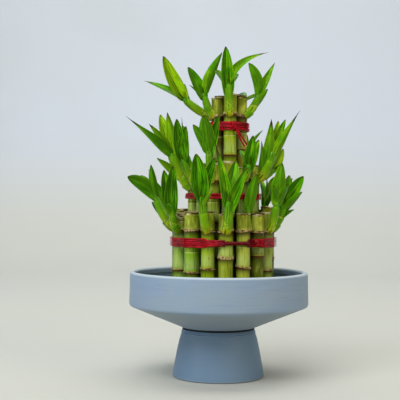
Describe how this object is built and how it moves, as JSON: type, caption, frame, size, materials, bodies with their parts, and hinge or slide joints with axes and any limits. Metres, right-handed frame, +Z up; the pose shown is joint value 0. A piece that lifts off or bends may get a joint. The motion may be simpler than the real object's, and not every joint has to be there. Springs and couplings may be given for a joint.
{
  "type": "lucky bamboo in a footed bowl",
  "caption": "Lucky bamboo: three rising rings of cut canes with leafy side shoots, tied with red wire, standing in water in a footed ceramic bowl.",
  "frame": {"origin": "on the table, under the middle of the bowl and of its foot ring", "axes": "+Z up along the canes, -Y the front, +X to the right seen from the front"},
  "size_m": [0.1623, 0.1606, 0.292],
  "materials": {
    "bowl": "satin",
    "water": "polished",
    "tie": "gloss",
    "bamboo": "satin"
  },
  "bodies": {
    "root": {"bowl": "bowl", "stalk_inner_01": "bamboo", "stalk_inner_02": "bamboo", "stalk_inner_03": "bamboo", "stalk_inner_04": "bamboo", "stalk_inner_05": "bamboo", "stalk_middle_01": "bamboo", "stalk_middle_02": "bamboo", "stalk_middle_03": "bamboo", "stalk_middle_04": "bamboo", "stalk_middle_05": "bamboo", "stalk_middle_06": "bamboo", "stalk_middle_07": "bamboo", "stalk_middle_08": "bamboo", "stalk_middle_09": "bamboo", "stalk_middle_10": "bamboo", "stalk_middle_11": "bamboo", "stalk_middle_12": "bamboo", "stalk_outer_01": "bamboo", "stalk_outer_02": "bamboo", "stalk_outer_03": "bamboo", "stalk_outer_04": "bamboo", "stalk_outer_05": "bamboo", "stalk_outer_06": "bamboo", "stalk_outer_07": "bamboo", "stalk_outer_08": "bamboo", "stalk_outer_09": "bamboo", "stalk_outer_10": "bamboo", "stalk_outer_11": "bamboo", "stalk_outer_12": "bamboo", "stalk_outer_13": "bamboo", "stalk_outer_14": "bamboo", "stalk_outer_15": "bamboo", "stalk_outer_16": "bamboo", "tie_inner": "tie", "tie_middle": "tie", "tie_outer": "tie", "water": "water"}
  },
  "joints": []
}
